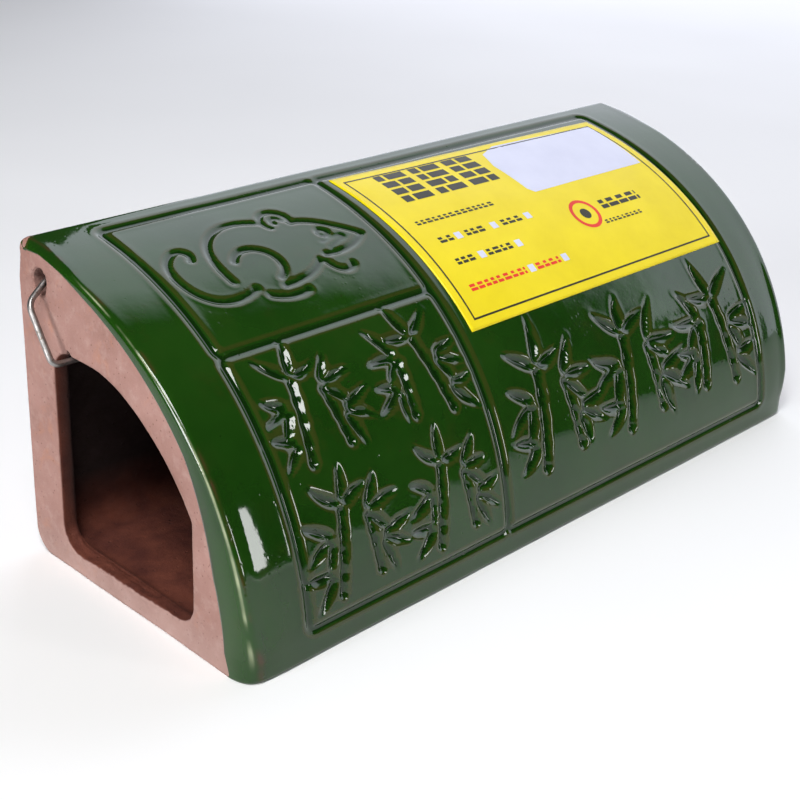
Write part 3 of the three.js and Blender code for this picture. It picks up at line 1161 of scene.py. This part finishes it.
def clay_material():
    """Unglazed red clay: pale and dusty outside, with darker grit, orange bloom and small pits. Inside,
    it is painted dark as shade, darkest high up past the end walls.
    """
    r = Recipe("red_clay")
    broad = r.mix(r.span(r.noise(22, 5, 0.6), 0.32, 0.68), (0.255, 0.132, 0.108), (0.355, 0.200, 0.170))
    bloom = r.mix(r.span(r.noise(9, 5, 0.65, 0.6), 0.56, 0.72, 0, 0.5), broad, (0.42, 0.185, 0.11))
    dust = r.mix(r.span(r.noise(5, 6, 0.7), 0.5, 0.75, 0, 0.5), bloom, (0.44, 0.30, 0.265))
    grit = r.mix(r.span(r.spots(2.2), 0.17, 0.06, 0, 0.75), dust, (0.13, 0.055, 0.04))
    low = r.span(r.along("Z"), 18 * MM, 2 * MM, 0, 0.35)
    worn = r.mix(low, grit, (0.44, 0.32, 0.29))
    # Painted shade: the inside of the room is coloured far darker than the outside clay, and near black
    # high up past the end walls.
    inside_painted_shade = r.mix(r.span(r.noise(12, 5, 0.6), 0.35, 0.65), (0.066, 0.012, 0.006), (0.125, 0.030, 0.015))
    high = r.span(r.along("Z"), 10 * MM, 26 * MM)
    past_wall = r.span(r.combine("ABSOLUTE", r.along("X")), END * MM, INNER_END * MM)
    high_inside_shade_mask = r.combine("MULTIPLY", high, past_wall)
    inside_painted_shade = r.mix(high_inside_shade_mask, inside_painted_shade, (0.016, 0.006, 0.005))
    # The painted shade is used wherever the mesh is inside; the plain clay colours are used outside.
    clay_with_painted_shade = r.mix(r.attribute("inside"), worn, inside_painted_shade)
    coarse = r.bump(r.noise(3.2, 6, 0.68), 0.35)
    fine = r.bump(r.noise(0.7, 3, 0.6), 0.09, coarse)
    pits = r.bump(r.span(r.spots(4.4), 0.06, 0.14), 0.25, fine)
    return r.finish(clay_with_painted_shade, pits, Roughness=r.wander(r.noise(4), 0.78, 0.95), IOR=1.45)


def steel_material():
    """Galvanised wire, drawn and a little dull."""
    r = Recipe("drawn_wire")
    colour = r.mix(r.span(r.noise(3, 4), 0.35, 0.65), (0.24, 0.23, 0.22), (0.38, 0.36, 0.35))
    spots = r.mix(r.span(r.noise(1.1, 3), 0.62, 0.7), colour, (0.14, 0.10, 0.08))
    draw_marks = r.bump(r.noise(0.5, 3), 0.03)
    return r.finish(spots, draw_marks, Roughness=r.wander(r.noise(1.6), 0.34, 0.50), Metallic=1.0)


def wax_material():
    """Pressed bait: grain bound in coloured wax."""
    r = Recipe("bait_wax")
    husk = r.mix(r.span(r.noise(2.2, 4, 0.7), 0.4, 0.6), (0.16, 0.012, 0.010), (0.34, 0.035, 0.025))
    grain = r.mix(r.span(r.spots(2.4), 0.3, 0.12, 0, 0.6), husk, (0.42, 0.16, 0.07))
    rough = r.bump(r.noise(1.3, 5, 0.7), 0.35)
    flecks = r.bump(r.span(r.spots(2.4), 0.1, 0.35), 0.2, rough)
    glow = {"Subsurface_Weight": 0.15, "Subsurface_Scale": 2 * MM}
    return r.finish(grain, flecks, Roughness=r.wander(r.noise(2), 0.35, 0.6), **glow)


def print_material(name, colour, other):
    """One colour of the label: even print with slight mottling, on glossy film."""
    r = Recipe(name)
    tint = r.mix(r.wander(r.noise(16, 4)), colour, other)
    ripple = r.bump(r.noise(7, 2), 0.03)
    grain = r.bump(r.noise(0.6, 2), 0.004, ripple)
    return r.finish(tint, grain, Roughness=r.wander(r.noise(9), 0.30, 0.40), IOR=1.3)


def floor_material():
    r = Recipe("pale_floor")
    colour = r.mix(r.wander(r.noise(300, 2)), (0.90, 0.90, 0.90), (0.94, 0.94, 0.94))
    return r.finish(colour, r.bump(r.noise(2, 2), 0.01), Roughness=0.8, IOR=1.3)


# ---------------------------------------------------------------- studio

def floor(material):
    half = 6.0 / MM
    drop = 0.02  # keeps it clear of the base
    corners = [(-half, -half, -drop), (half, -half, -drop), (half, half, -drop), (-half, half, -drop)]
    piece = mesh_piece("floor", corners, [(0, 1, 2, 3)], [material])


def softbox(name, place, width, height, radiance, target=(0, 0, 0.05)):
    """A flat light of even brightness. Its power is its radiance times its area times pi."""
    lamp = bpy.data.lights.new(name, "AREA")
    lamp.shape = "RECTANGLE"
    lamp.size = width
    lamp.size_y = height
    lamp.energy = radiance * width * height * math.pi
    piece = add_object(name, lamp)
    piece.location = place
    piece.rotation_euler = (Vector(target) - Vector(place)).to_track_quat("-Z", "Y").to_euler()
    piece.visible_camera = False
    return lamp


def wall_light(name, azimuth, distance, height, width, radiance):
    """A lit wall on the floor that faces back along an azimuth, mostly to that azimuth's right."""
    angle = math.radians(azimuth)
    toward = Vector((math.cos(angle), math.sin(angle), 0))
    rightward = Vector((math.sin(angle), -math.cos(angle), 0))
    shift = 0.43  # of its width
    place = toward * distance + rightward * shift * width + Vector((0, 0, height / 2))
    lamp = softbox(name, place, width, height, radiance, place - toward)
    dim_top_edge(lamp, share=0.3)
    return lamp


def dim_top_edge(lamp, share):
    """Lets the brightness fall to nothing over the top share of the light."""
    lamp.use_nodes = True
    nodes = lamp.node_tree.nodes
    links = lamp.node_tree.links
    across = nodes.new("ShaderNodeNewGeometry").outputs["Parametric"]
    split = nodes.new("ShaderNodeSeparateXYZ")
    links.new(across, split.inputs[0])
    ease = nodes.new("ShaderNodeMapRange")
    ease.interpolation_type = "SMOOTHSTEP"
    ease.inputs["From Min"].default_value = 1.0
    ease.inputs["From Max"].default_value = 1.0 - share
    links.new(split.outputs["Y"], ease.inputs["Value"])
    links.new(ease.outputs["Result"], nodes["Emission"].inputs["Strength"])


def studio():
    """The lights and the faint light from all round."""
    backdrop = wall_light("backdrop", azimuth=42, distance=1.15, height=2.3, width=5.0, radiance=1.75)
    backdrop.color = (0.93, 0.96, 1.08)
    softbox("side", (0.47, -1.22, 0.30), width=0.17, height=0.46, radiance=12)
    softbox("overhead", (-0.75, -0.45, 1.35), width=0.6, height=0.6, radiance=17)
    softbox("key", (-1.25, -0.04, 0.36), width=0.36, height=0.40, radiance=19)
    world = bpy.data.worlds.new("studio")
    world.use_nodes = True
    background = world.node_tree.nodes["Background"]
    background.inputs["Color"].default_value = (0.04, 0.04, 0.04, 1)
    bpy.context.scene.world = world
    bpy.context.scene.view_settings.view_transform = "Standard"


def camera():
    """A long lens at the near end, looking down on the roof and into the tunnel."""
    lens = bpy.data.cameras.new("camera")
    lens.lens = 66.61
    lens.sensor_width = 36
    lens.clip_start = 0.01
    eye = add_object("camera", lens)
    eye.location = (-0.38736, -0.33805, 0.26980)
    eye.rotation_euler = (1.13281, -0.04202, -0.79171)
    bpy.context.scene.camera = eye


def main():
    clay_shell(clay_material())
    glaze_skin(glaze_material())
    bait_wire(steel_material())
    wax = wax_material()
    for number in range(1, 5):
        bait_block(number, wax)
    label_vinyl([
        print_material("label_yellow", (0.78, 0.62, 0.004), (0.85, 0.69, 0.008)),
        print_material("label_dark", (0.02, 0.022, 0.01), (0.03, 0.03, 0.02)),
        print_material("label_red", (0.70, 0.03, 0.015), (0.80, 0.05, 0.02)),
        print_material("label_white", (0.62, 0.64, 0.80), (0.68, 0.70, 0.86)),
    ])
    floor(floor_material())
    studio()
    camera()


main()
